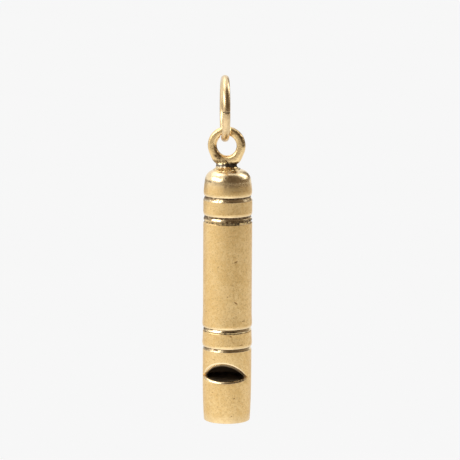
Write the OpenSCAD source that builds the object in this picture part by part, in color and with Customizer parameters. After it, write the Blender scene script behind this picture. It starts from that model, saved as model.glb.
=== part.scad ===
// Cylindrical gold whistle pendant: a closed pipe with a soldered eye and a jump ring.
// Origin at the centre of the jump ring's loop, +Z up along the pipe, window facing -Y.
// Distances called down are measured along the pipe, away from the ring.

/* [Jump ring] */
// Outside diameter of the jump ring
ring_outer_d = 9.5; // [8.8:0.1:10.5]
// Thickness of the ring's wire, measured across the loop
ring_wire_t = 0.92; // [0.7:0.02:1.0]
// Width of the ring's wire, measured along the loop's own axis
ring_wire_w = 1.10; // [1.0:0.02:1.2]
// Turn of the ring about the vertical, away from square to the eye
ring_turn = 14; // [0:1:15]
// Angle of the ring's butt joint below the horizontal, on the front strand
ring_joint_angle = 0; // [-10:1:40]
// Thickness of the solder film that closes the butt joint
ring_joint_t = 0.12; // [0.06:0.01:0.2]

/* [Suspension eye] */
// How far the eye stands to the right of the ring's centre
eye_side = 0.27; // [0:0.01:0.3]
// Outside diameter of the eye
eye_outer_d = 5.46; // [5.4:0.02:5.8]
// Diameter of the eye's hole
eye_hole_d = 2.88; // [2.8:0.02:3.0]
// Thickness of the eye between its two flattened faces
eye_flat_t = 1.16; // [1.1:0.02:1.24]
// Diameter of the worn neck that the ring bears on
eye_neck_d = 1.12; // [1.0:0.02:1.16]
// Length of the worn neck
eye_neck_len = 1.2; // [1.15:0.05:1.3]
// Play between the worn neck and the inside of the ring
ring_play = 0.05; // [0.03:0.01:0.1]
// Depth filed flat off the foot of the eye
foot_file = 0.06; // [0.04:0.01:0.12]
// Width of the eye's spread foot, where it meets the solder
foot_flare_w = 3.1; // [2.8:0.1:3.4]
// Thickness of the spread foot
foot_flare_t = 0.9; // [0.7:0.05:1.0]
// Angle below the horizontal at which the foot starts to spread from the eye
foot_flare_angle = 32; // [26:1:38]

/* [Eye solder] */
// Height at which the solder holds the eye above the top of the cap
eye_lift = 0.44; // [0.3:0.02:0.6]
// Length of the solder foot, along the eye's face
foot_len = 3.0; // [2.8:0.1:3.2]
// Width of the solder foot, across the eye
foot_w = 1.9; // [1.6:0.1:2.2]
// Height that the solder climbs above the foot of the eye
foot_rise = 0.36; // [0.2:0.02:0.6]
// How far the solder spreads over the cap, beyond the foot
foot_spread = 0.3; // [0.2:0.02:0.4]
// Depth of the solder under the top of the cap, out to the edge of the spread
foot_depth = 0.6; // [0.5:0.05:0.8]

/* [Pipe] */
// How far the pipe's axis stands to the right of the ring's centre
pipe_side = 0.48; // [0:0.01:0.5]
// Outside diameter of the barrel and the bands
pipe_d = 7.0; // [6.8:0.1:7.6]
// Wall of the barrel and the mouthpiece
pipe_wall = 0.5; // [0.4:0.05:0.8]
// Length of the pipe, from the top of the cap to the mouth
pipe_len = 36.80; // [36.4:0.01:40]
// Depth of the turned grooves
groove_depth = 0.13; // [0.08:0.01:0.2]

/* [End cap] */
// How far the side stands in from the pipe at its top, where the shoulder starts
cap_shoulder_in = 0.18; // [0.1:0.01:0.3]
// How far the side stands in from the pipe at its foot, above the first groove
cap_side_in = 0.06; // [0.03:0.01:0.1]
// Radius of the shoulder between the side and the crown
cap_shoulder_r = 1.7; // [1.5:0.05:1.8]
// Height from the shoulder's centre to the top of the cap
cap_crown_h = 2.01; // [1.95:0.01:2.2]
// Distance down from the top of the cap to the first groove
groove1_down = 4.46; // [4.2:0.02:4.8]
// Distance down from the first groove to the second groove
groove2_down = 2.70; // [2.5:0.02:3.0]
// Distance down from the second groove to the seam with the barrel
seam_down = 0.58; // [0.54:0.02:0.8]
// Width of the two turned grooves of the cap
cap_groove_w = 0.52; // [0.4:0.02:0.6]
// Thickness of the metal at the top of the cap
cap_crown_t = 0.85; // [0.7:0.05:1.1]
// Rise of the hollow's own dome inside the cap
cap_hollow_rise = 0.8; // [0.5:0.05:1.0]
// Length of the spigots that enter the barrel
spigot_len = 2.0; // [1.5:0.1:3.0]
// Wall of the spigots
spigot_wall = 0.45; // [0.35:0.05:0.6]
// Radial clearance of a spigot in the barrel's bore
spigot_fit = 0.02; // [0.01:0.01:0.05]

/* [Seams] */
// Width of the groove turned over the seam between the cap and the barrel
cap_seam_groove_w = 0.38; // [0.34:0.02:0.5]
// Width of the solder line in the bottom of each seam's groove
seam_w = 0.20; // [0.14:0.02:0.3]
// Depth of the solder below the groove
seam_depth = 0.14; // [0.1:0.02:0.2]
// How far the solder stands back from the bottom of the groove
seam_solder_back = 0.02; // [0.01:0.01:0.05]

/* [Mouthpiece] */
// Distance down from the top of the cap to the seam with the mouthpiece
mouth_seam_down = 23.57; // [23:0.01:25]
// Distance down from the seam to the groove of the mouthpiece
groove4_down = 2.80; // [2.5:0.01:3.0]
// Width of the grooves at the mouthpiece
mouth_groove_w = 0.60; // [0.5:0.02:0.7]
// Height of the raised lip above each groove at the mouthpiece
lip_rise = 0.08; // [0.04:0.01:0.1]
// Radius of the lip's rounded back
lip_r = 0.26; // [0.2:0.02:0.3]
// How far the mouth's edge stands in from the pipe
mouth_in = 0.19; // [0.1:0.01:0.22]
// Length over which the mouth end tapers
taper_len = 6.4; // [5:0.1:7]
// Rounding of the mouth's outer rim
rim_r = 0.14; // [0.1:0.01:0.18]

/* [Window] */
// Distance down from the top of the cap to the corners of the window
window_down = 29.99; // [29.8:0.01:31]
// Half of the angle that the window spans round the pipe
window_half_angle = 67; // [60:1:70]
// Slope of the window's upper bevel, rising outward
lip_slope = 47.4; // [44:0.2:50]
// Slope of the window's sill, falling outward
sill_slope = 17.4; // [14:0.2:24]

/* [Windway block] */
// Depth of the windway between the block's flat and the bore
windway_depth = 0.6; // [0.5:0.05:0.8]
// Distance that the block stands back inside the mouth
block_back = 0.2; // [0.1:0.05:0.5]
// Width of the chamfer along the block's upper front edge
block_chamfer = 0.2; // [0.1:0.05:0.3]

/* [Hidden] */
$fn = 96;
gold = "#d6b067";
worn_gold = "#e2c384";
solder_gold = "#b9a878";
dull_gold = "#8f7238";
cut = 0.5;

// Ring
ring_centre_r = (ring_outer_d - ring_wire_t) / 2;
ring_inner_r = ring_outer_d / 2 - ring_wire_t;
wire_r = ring_wire_t / 2;
wire_offset = (ring_wire_w - ring_wire_t) / 2;

// Eye: the ring bears under the neck, and solder holds the foot above the cap
eye_wire_r = (eye_outer_d - eye_hole_d) / 4;
eye_centre_r = (eye_outer_d + eye_hole_d) / 4;
pivot_z = -(ring_inner_r - ring_play - eye_neck_d / 2);
eye_z = pivot_z - eye_centre_r;
foot_z = eye_z - eye_outer_d / 2 + foot_file;
top_z = foot_z - eye_lift;

// Pipe
pipe_r = pipe_d / 2;
bore_r = pipe_r - pipe_wall;
mouth_z = top_z - pipe_len;
groove1_z = top_z - groove1_down;
groove2_z = groove1_z - groove2_down;
cap_seam_z = groove2_z - seam_down;
mouth_seam_z = top_z - mouth_seam_down;
groove4_z = mouth_seam_z - groove4_down;
spigot_r = bore_r - spigot_fit;
spigot_bore_r = spigot_r - spigot_wall;
seam_floor_r = pipe_r - groove_depth - seam_depth;

// Cap: the shoulder is an arc tangent to the crown's arc
cap_side_r = pipe_r - cap_side_in;
cap_shoulder_x = pipe_r - cap_shoulder_in - cap_shoulder_r;
cap_shoulder_z = top_z - cap_crown_h;
crown_r = (
    cap_shoulder_x * cap_shoulder_x + cap_crown_h * cap_crown_h - cap_shoulder_r * cap_shoulder_r
) / (2 * (cap_crown_h - cap_shoulder_r));
crown_z = top_z - crown_r;
crown_angle = atan2(cap_shoulder_z - crown_z, cap_shoulder_x);
hollow_top = top_z - cap_crown_t;
hollow_r = (spigot_bore_r * spigot_bore_r + cap_hollow_rise * cap_hollow_rise) / (2 * cap_hollow_rise);
hollow_angle = acos(spigot_bore_r / hollow_r);

// Mouth: the side is an arc tangent to the pipe above the taper
taper_r = (taper_len * taper_len + mouth_in * mouth_in) / (2 * mouth_in);
rim_x = pipe_r - mouth_in - rim_r;

// Window
window_z = top_z - window_down;
window_y = -pipe_r * cos(window_half_angle);
window_reach = pipe_r + lip_rise + cut + window_y;
sill_inner_z = window_z - (bore_r + window_y) * tan(sill_slope);

// Points of an arc, both ends included
function arc(x, z, r, from, to, steps) = [
    for (i = [0:steps])
        let (a = from + (to - from) * i / steps)
            [x + r * cos(a), z + r * sin(a)]
];

// Turns a section about the pipe's axis
module on_pipe() {
    translate([pipe_side, 0, 0])
        rotate_extrude()
            children();
}

// Section of a round-backed groove of the given width in the wall of the pipe
module groove(z, w) {
    arc_r = (w * w / 4 + groove_depth * groove_depth) / (2 * groove_depth);
    translate([pipe_r + arc_r - groove_depth, z])
        circle(r = arc_r, $fn = 64);
}

// Section between two radii, centred on height z
module band(z, inner_r, outer_r, h) {
    translate([inner_r, z - h / 2])
        square([outer_r - inner_r, h]);
}

// Section of the slot that the solder of a seam lies in
module seam_slot(z) {
    band(z, seam_floor_r, pipe_r + cut, seam_w);
}

// Section of the solder of a seam
module seam_section(z) {
    band(z, seam_floor_r, pipe_r - groove_depth - seam_solder_back, seam_w);
}

// Section of the raised lip of rolled metal above a groove at height z
module lip(z) {
    translate([pipe_r + lip_rise - lip_r, z + mouth_groove_w / 2 + lip_r / 2])
        circle(r = lip_r, $fn = 48);
}

// Section of the ring's wire: two rounds and the straight between them
module wire_section() {
    translate([ring_centre_r, -wire_offset])
        circle(r = wire_r, $fn = 48);
    translate([ring_centre_r, wire_offset])
        circle(r = wire_r, $fn = 48);
    translate([ring_centre_r - wire_r, -wire_offset])
        square([ring_wire_t, 2 * wire_offset]);
}

// Full loop of wire, standing up, with its axis along the swing axis
module wire_loop() {
    rotate([0, 0, ring_turn])
        rotate([0, 90, 0])
            rotate_extrude($fn = 144)
                wire_section();
}

// Thin slab where the two ends of the wire meet
module ring_joint() {
    rotate([0, 0, ring_turn])
        rotate([ring_joint_angle, 0, 0])
            translate([-ring_wire_w, -ring_centre_r - ring_wire_t, -ring_joint_t / 2])
                cube([2 * ring_wire_w, 2 * ring_wire_t, ring_joint_t]);
}

module jump_ring() {
    color(gold)
        difference() {
            wire_loop();
            ring_joint();
        }
}

module jump_ring_solder() {
    color(solder_gold)
        intersection() {
            wire_loop();
            ring_joint();
        }
}

module suspension_eye() {
    color(worn_gold)
        union() {
            difference() {
                eye_loop();
                eye_wear();
            }
            eye_flare();
        }
}

// Round loop of wire with both faces and the foot filed flat
module eye_loop() {
    intersection() {
        translate([eye_side, 0, eye_z])
            rotate([90, 0, 0])
                rotate_extrude()
                    translate([eye_centre_r, 0])
                        circle(r = eye_wire_r, $fn = 48);
        translate([-eye_outer_d, -eye_flat_t / 2, foot_z])
            cube([2 * eye_outer_d, eye_flat_t, eye_outer_d + cut]);
    }
}

// Foot of the eye, spread on both sides to meet the solder
module eye_flare() {
    flare_r = eye_outer_d / 2 - foot_file;
    side_x = flare_r * cos(foot_flare_angle);
    side_z = eye_z - flare_r * sin(foot_flare_angle);
    translate([eye_side, foot_flare_t / 2, 0])
        rotate([90, 0, 0])
            linear_extrude(height = foot_flare_t)
                difference() {
                    polygon([
                        [-side_x, side_z],
                        [-foot_flare_w / 2, foot_z],
                        [foot_flare_w / 2, foot_z],
                        [side_x, side_z]
                    ]);
                    translate([0, eye_z])
                        circle(r = eye_centre_r);
                }
}

// Metal worn away round the neck that the ring bears on, square to the ring
module eye_wear() {
    translate([0, 0, pivot_z])
        rotate([0, 0, ring_turn])
            rotate([0, 90, 0])
                translate([0, 0, -eye_neck_len / 2])
                    difference() {
                        cylinder(r = eye_wire_r + cut, h = eye_neck_len);
                        translate([0, 0, -cut])
                            cylinder(d = eye_neck_d, h = eye_neck_len + 2 * cut);
                    }
}

module eye_solder() {
    low = top_z - foot_depth;
    color(solder_gold)
        difference() {
            translate([eye_side, 0, 0]) {
                round_ended(foot_len, foot_w, low, foot_z + foot_rise);
                round_ended(foot_len + 2 * foot_spread, foot_w + 2 * foot_spread, low, top_z);
            }
            on_pipe()
                cap_section();
            suspension_eye();
        }
}

// Upright block with round ends, between two heights
module round_ended(len, w, low, high) {
    straight = (len - w) / 2;
    translate([0, 0, low])
        linear_extrude(height = high - low) {
            translate([-straight, 0])
                circle(d = w);
            translate([straight, 0])
                circle(d = w);
            translate([-straight, -w / 2])
                square([2 * straight, w]);
        }
}

// Solid section of the cap above the seam: side, shoulder and crown
module cap_section() {
    polygon(concat(
        [[0, cap_seam_z], [pipe_r, cap_seam_z], [pipe_r, groove1_z], [cap_side_r, groove1_z]],
        arc(cap_shoulder_x, cap_shoulder_z, cap_shoulder_r, 0, crown_angle, 12),
        arc(0, crown_z, crown_r, crown_angle + 2, 88, 8),
        [[0, top_z]]
    ));
}

// Section of the hollow inside the cap, open at the spigot's end
module cap_hollow() {
    low = cap_seam_z - spigot_len - cut;
    polygon(concat(
        [[0, low], [spigot_bore_r, low]],
        arc(0, hollow_top - hollow_r, hollow_r, hollow_angle, 88, 12),
        [[0, hollow_top]]
    ));
}

module end_cap() {
    color(gold)
        on_pipe()
            difference() {
                union() {
                    cap_section();
                    translate([0, cap_seam_z - spigot_len])
                        square([spigot_r, spigot_len + cut]);
                }
                groove(groove1_z, cap_groove_w);
                groove(groove2_z, cap_groove_w);
                groove(cap_seam_z, cap_seam_groove_w);
                seam_slot(cap_seam_z);
                cap_hollow();
            }
}

module cap_seam_solder() {
    color(solder_gold)
        on_pipe()
            seam_section(cap_seam_z);
}

module barrel_tube() {
    color(gold)
        on_pipe()
            difference() {
                union() {
                    translate([bore_r, mouth_seam_z])
                        square([pipe_wall, cap_seam_z - mouth_seam_z]);
                    lip(mouth_seam_z);
                }
                groove(cap_seam_z, cap_seam_groove_w);
                groove(mouth_seam_z, mouth_groove_w);
                seam_slot(cap_seam_z);
                seam_slot(mouth_seam_z);
            }
}

module mouth_seam_solder() {
    color(solder_gold)
        on_pipe()
            seam_section(mouth_seam_z);
}

// Section of the mouthpiece's wall, with the tapered side and the rounded rim
module mouth_section() {
    polygon(concat(
        [[bore_r, mouth_z]],
        arc(rim_x, mouth_z + rim_r, rim_r, -90, -6, 6),
        [
            for (i = [1:8])
                let (rise = rim_r + (taper_len - rim_r) * i / 8, left = taper_len - rise)
                    [pipe_r - taper_r + sqrt(taper_r * taper_r - left * left), mouth_z + rise]
        ],
        [[pipe_r, mouth_seam_z], [bore_r, mouth_seam_z]]
    ));
}

// Space of the window: an upper bevel and a sloping sill that meet in a line
module window_cut() {
    translate([pipe_side + pipe_d, window_y, window_z])
        rotate([90, 0, -90])
            linear_extrude(height = 2 * pipe_d)
                polygon([
                    [0, 0],
                    [window_reach, window_reach * tan(lip_slope)],
                    [window_reach, -window_reach * tan(sill_slope)],
                ]);
}

module mouthpiece() {
    web_z = mouth_seam_z - spigot_wall;
    color(gold)
        difference() {
            on_pipe()
                difference() {
                    union() {
                        mouth_section();
                        lip(groove4_z);
                        translate([spigot_bore_r, web_z])
                            square([bore_r - spigot_bore_r + pipe_wall / 2, spigot_wall]);
                        translate([spigot_bore_r, web_z])
                            square([spigot_wall, spigot_wall + spigot_len]);
                    }
                    groove(mouth_seam_z, mouth_groove_w);
                    groove(groove4_z, mouth_groove_w);
                    seam_slot(mouth_seam_z);
                }
            window_cut();
        }
}

module windway_block() {
    block_z = mouth_z + block_back;
    block_h = sill_inner_z - block_z;
    flat_y = -(bore_r - windway_depth);
    color(dull_gold)
        translate([pipe_side, 0, 0])
            difference() {
                translate([0, 0, block_z])
                    cylinder(r = bore_r, h = block_h);
                translate([-bore_r, flat_y - bore_r, block_z - cut])
                    cube([2 * bore_r, bore_r, block_h + 2 * cut]);
                translate([0, flat_y, sill_inner_z])
                    rotate([45, 0, 0])
                        cube([2 * bore_r, block_chamfer, block_chamfer], center = true);
            }
}

jump_ring();
jump_ring_solder();
suspension_eye();
eye_solder();
end_cap();
cap_seam_solder();
barrel_tube();
mouth_seam_solder();
mouthpiece();
windway_block();
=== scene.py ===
"""Looks of the gold whistle pendant: its turned metal, its wear, the studio and the camera.

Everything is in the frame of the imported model. The origin is the centre of the jump ring's
loop, +Z runs up along the pipe and the window faces -Y. Sizes are in millimetres and become
metres where a mesh is made.
"""

import logging
import math
from collections.abc import Callable, Sequence
from dataclasses import dataclass, field, replace
from enum import Enum
from functools import cached_property

import bmesh
import bpy
from mathutils import Matrix, Vector


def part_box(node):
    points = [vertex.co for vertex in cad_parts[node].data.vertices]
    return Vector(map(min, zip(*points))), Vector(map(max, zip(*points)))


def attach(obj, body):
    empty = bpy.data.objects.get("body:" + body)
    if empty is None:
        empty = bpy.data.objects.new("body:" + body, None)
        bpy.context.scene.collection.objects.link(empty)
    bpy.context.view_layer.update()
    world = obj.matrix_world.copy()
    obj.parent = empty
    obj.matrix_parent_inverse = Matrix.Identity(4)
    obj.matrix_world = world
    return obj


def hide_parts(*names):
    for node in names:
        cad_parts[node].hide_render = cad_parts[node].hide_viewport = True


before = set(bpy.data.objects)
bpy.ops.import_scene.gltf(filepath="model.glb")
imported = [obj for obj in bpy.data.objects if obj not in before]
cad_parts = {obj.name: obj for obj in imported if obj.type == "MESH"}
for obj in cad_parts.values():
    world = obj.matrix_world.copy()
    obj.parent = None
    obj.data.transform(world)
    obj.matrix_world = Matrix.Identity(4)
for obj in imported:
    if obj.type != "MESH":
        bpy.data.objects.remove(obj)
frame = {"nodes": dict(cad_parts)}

log = logging.getLogger("whistle")

MM = 0.001

Point = tuple[float, float]
Colour = tuple[float, float, float]
Value = Callable[[Vector], float]


class Body(Enum):
    """The two bodies that the swing joins."""

    RING = "ring"
    WHISTLE = "whistle"


class Slot(Enum):
    """The material slots of the record."""

    RING_GOLD = "ring_gold"
    BODY_GOLD = "body_gold"
    DULL_GOLD = "dull_gold"
    SOLDER = "solder"


class Mask(Enum):
    """What is painted on the points of a piece, from 0 to 1."""

    POLISH = "polish"
    # Dirt, dark seams and painted shade: painted shadow under the grooves' ledges, painted shade on the eye,
    # in the window and by the eye's foot, and a painted reflection on the dome.
    GRIME = "grime"
    INSIDE = "inside"


class Kind(Enum):
    """What a selection on a mesh is made of."""

    EDGES = "EDGE"
    FACES = "FACE"


# Sections and levels


@dataclass(frozen=True)
class Corner:
    """A corner of a turned section, in mm.

    Attributes:
        r: Distance from the pipe's axis.
        z: Height.
        fillet: Radius of the rounding.
    """

    r: float
    z: float
    fillet: float = 0.0


def arc(centre: Point, radius: float, start: float, end: float, steps: int) -> list[Point]:
    """Points of an arc, both ends included.

    Args:
        centre: Centre of the arc, in mm.
        radius: Its radius, in mm.
        start: Angle of the first point from the +r direction, in degrees.
        end: Angle of the last point, in degrees.
        steps: Pieces that the arc is split into.

    Returns:
        The points, in mm.
    """
    points = []
    for k in range(steps + 1):
        a = math.radians(start + (end - start) * k / steps)
        points.append((centre[0] + radius * math.cos(a), centre[1] + radius * math.sin(a)))
    return points


def rounded(corners: Sequence[Corner], steps: int = 5) -> list[Point]:
    """Round the corners of a section.

    Args:
        corners: The corners in order.
        steps: Pieces that each rounding is split into.

    Returns:
        The points of the section, in mm.
    """
    straight = 0.01
    share = 0.49
    points: list[Point] = []
    for i, corner in enumerate(corners):
        if corner.fillet <= 0 or i in (0, len(corners) - 1):
            points.append((corner.r, corner.z))
            continue
        here = Vector((corner.r, corner.z))
        before = Vector((corners[i - 1].r, corners[i - 1].z)) - here
        after = Vector((corners[i + 1].r, corners[i + 1].z)) - here
        opening = before.angle(after)
        if math.pi - opening < straight:
            points.append((corner.r, corner.z))
            continue
        reach = corner.fillet / math.tan(opening / 2)
        reach = min(reach, share * before.length, share * after.length)
        radius = reach * math.tan(opening / 2)
        middle = (before.normalized() + after.normalized()).normalized()
        centre = here + middle * (radius / math.sin(opening / 2))
        start = here + before.normalized() * reach - centre
        end = here + after.normalized() * reach - centre
        low = math.atan2(start.y, start.x)
        turn = (math.atan2(end.y, end.x) - low + math.pi) % (2 * math.pi) - math.pi
        for k in range(steps + 1):
            a = low + turn * k / steps
            points.append((centre.x + radius * math.cos(a), centre.y + radius * math.sin(a)))
    return points


@dataclass(frozen=True)
class Levels:
    """Heights that the pieces share, in mm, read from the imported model."""

    top: float
    cap_seam: float
    mouth_seam: float
    mouth: float

    @classmethod
    def read(cls) -> "Levels":
        """Read the levels from the boxes of the CAD nodes."""
        tube_low, tube_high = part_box("barrel_tube")
        return cls(
            top=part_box("end_cap")[1].z / MM,
            cap_seam=tube_high.z / MM,
            mouth_seam=tube_low.z / MM,
            mouth=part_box("mouthpiece")[0].z / MM,
        )


# The bench: the hand tools that the pieces are made with


class Bench:
    """Modelling steps on one object at a time."""

    @staticmethod
    def clear() -> None:
        """Leave edit mode and select nothing."""
        if bpy.context.object and bpy.context.object.mode != "OBJECT":
            bpy.ops.object.mode_set(mode="OBJECT")
        bpy.ops.object.select_all(action="DESELECT")

    @staticmethod
    def take(obj: bpy.types.Object) -> None:
        """Make one object the only one selected, and active."""
        Bench.clear()
        obj.select_set(True)
        bpy.context.view_layer.objects.active = obj

    @staticmethod
    def open(obj: bpy.types.Object, select: bool = False) -> None:
        """Open an object in edit mode.

        Args:
            obj: The object.
            select: Selects all of its points, or none.
        """
        Bench.take(obj)
        bpy.ops.object.mode_set(mode="EDIT")
        bpy.ops.mesh.select_mode(type="VERT")
        bpy.ops.mesh.select_all(action="SELECT" if select else "DESELECT")

    @staticmethod
    def close() -> None:
        """Go back to object mode."""
        bpy.ops.object.mode_set(mode="OBJECT")

    @staticmethod
    def pick(obj: bpy.types.Object, kind: Kind, where: Callable[[object], bool]) -> None:
        """Open an object in edit mode, with the edges or faces selected that pass a test.

        Args:
            obj: The piece.
            kind: What is selected.
            where: Says whether an edge or a face is selected.
        """
        Bench.open(obj)
        bpy.ops.mesh.select_mode(type=kind.value)
        mesh = bmesh.from_edit_mesh(obj.data)
        for item in mesh.edges if kind is Kind.EDGES else mesh.faces:
            item.select_set(where(item))
        bmesh.update_edit_mesh(obj.data)

    @staticmethod
    def settle(obj: bpy.types.Object) -> None:
        """Put the object's place, turn and scale into its mesh."""
        Bench.take(obj)
        bpy.ops.object.transform_apply(location=True, rotation=True, scale=True)

    @staticmethod
    def seal(obj: bpy.types.Object, distance: float = 0.0005) -> None:
        """Merge doubles and turn all faces outwards.

        Args:
            obj: The piece.
            distance: Points closer than this are one, in mm.
        """
        Bench.open(obj, select=True)
        bpy.ops.mesh.remove_doubles(threshold=distance * MM)
        bpy.ops.mesh.normals_make_consistent(inside=False)
        Bench.close()

    @staticmethod
    def spun(name: str, section: Sequence[Point], steps: int, sweep: float = 360.0) -> bpy.types.Object:
        """Spin a section round the Z axis.

        Args:
            name: Name of the new object.
            section: Points of the section, in mm.
            steps: Faces round the object.
            sweep: Angle that it covers, in degrees.

        Returns:
            The object, as the spin left it.
        """
        Bench.clear()
        bpy.ops.mesh.primitive_plane_add(size=MM, location=(0, 0, 0))
        obj = bpy.context.object
        obj.name = obj.data.name = name
        Bench.open(obj, select=True)
        bpy.ops.mesh.merge(type="CENTER")
        at = Vector((section[0][0], 0, section[0][1])) * MM
        bpy.ops.transform.translate(value=at)
        for r, z in section[1:]:
            to = Vector((r, 0, z)) * MM
            bpy.ops.mesh.extrude_region_move(TRANSFORM_OT_translate={"value": to - at})
            at = to
        bpy.ops.mesh.select_all(action="SELECT")
        bpy.ops.mesh.spin(steps=steps, angle=math.radians(sweep), center=(0, 0, 0), axis=(0, 0, 1))
        Bench.close()
        return obj

    @staticmethod
    def turned(name: str, section: Sequence[Point], steps: int) -> bpy.types.Object:
        """Turn a section round the pipe's axis, as on a lathe.

        Args:
            name: Name of the new piece.
            section: Points of the section in mm, closed or ending on the axis.
            steps: Faces round the piece.

        Returns:
            The piece, closed and facing outwards.
        """
        obj = Bench.spun(name, section, steps)
        Bench.seal(obj)
        return obj

    @staticmethod
    def cut(obj: bpy.types.Object, tool: bpy.types.Object) -> None:
        """Cut another object's shape out of a piece.

        Args:
            obj: The piece.
            tool: The other object, which is removed afterwards.
        """
        Bench.take(obj)
        modifier = obj.modifiers.new("cut", "BOOLEAN")
        modifier.operation = "DIFFERENCE"
        modifier.solver = "EXACT"
        modifier.object = tool
        bpy.ops.object.modifier_apply(modifier=modifier.name)
        bpy.data.objects.remove(tool)

    @staticmethod
    def bevel(
        obj: bpy.types.Object,
        width: float,
        segments: int,
        where: Callable[[bmesh.types.BMEdge], bool],
        clamp: bool = True,
    ) -> None:
        """Round the edges that pass a test.

        Args:
            obj: The piece.
            width: Width of the bevel, in mm.
            segments: Faces across the bevel.
            where: Says whether an edge is rounded.
            clamp: Keeps the bevel narrower than the faces beside it.
        """
        Bench.pick(obj, Kind.EDGES, where)
        bpy.ops.mesh.bevel(
            offset=width * MM, segments=segments, profile=0.5, affect="EDGES", clamp_overlap=clamp
        )
        Bench.close()

    @staticmethod
    def smooth(obj: bpy.types.Object, angle: float = 40.0) -> None:
        """Shade a piece smooth, with edges sharper than the angle kept."""
        Bench.take(obj)
        bpy.ops.object.shade_smooth_by_angle(angle=math.radians(angle))

    @staticmethod
    def paint(obj: bpy.types.Object, masks: dict[Mask, Value]) -> None:
        """Paint masks on the points of a piece.

        Args:
            obj: The piece.
            masks: For each mask, what gives its value at a place in mm.
        """
        for mask, value in masks.items():
            layer = obj.data.attributes.new(mask.value, "FLOAT", "POINT")
            values = [max(0.0, min(1.0, value(v.co / MM))) for v in obj.data.vertices]
            layer.data.foreach_set("value", values)


def sharp(edge: bmesh.types.BMEdge, angle: float) -> bool:
    """Whether two faces meet at an edge with more than an angle in degrees between them."""
    return len(edge.link_faces) == 2 and edge.calc_face_angle() > math.radians(angle)


def bump_at(x: float, middle: float, half: float) -> float:
    """A smooth bump of height 1 at the middle, which falls to 0 at the half width."""
    t = max(0.0, 1 - abs(x - middle) / half)
    return t * t * (3 - 2 * t)


def step_up(x: float, low: float, high: float) -> float:
    """Rise smoothly from 0 at low to 1 at high."""
    t = max(0.0, min(1.0, (x - low) / (high - low)))
    return t * t * (3 - 2 * t)


def step_down(x: float, low: float, high: float) -> float:
    """Fall smoothly from 1 at low to 0 at high."""
    return step_up(-x, -high, -low)


def band(x: float, low: float, high: float, soft: float = 0.05) -> float:
    """1 between two levels and 0 outside them, with soft ends."""
    return step_up(x, low - soft, low + soft) * step_down(x, high - soft, high + soft)


def radius_at(at: Vector) -> float:
    """Distance of a place from the vertical axis."""
    return math.hypot(at.x, at.y)


# Finishes


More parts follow.
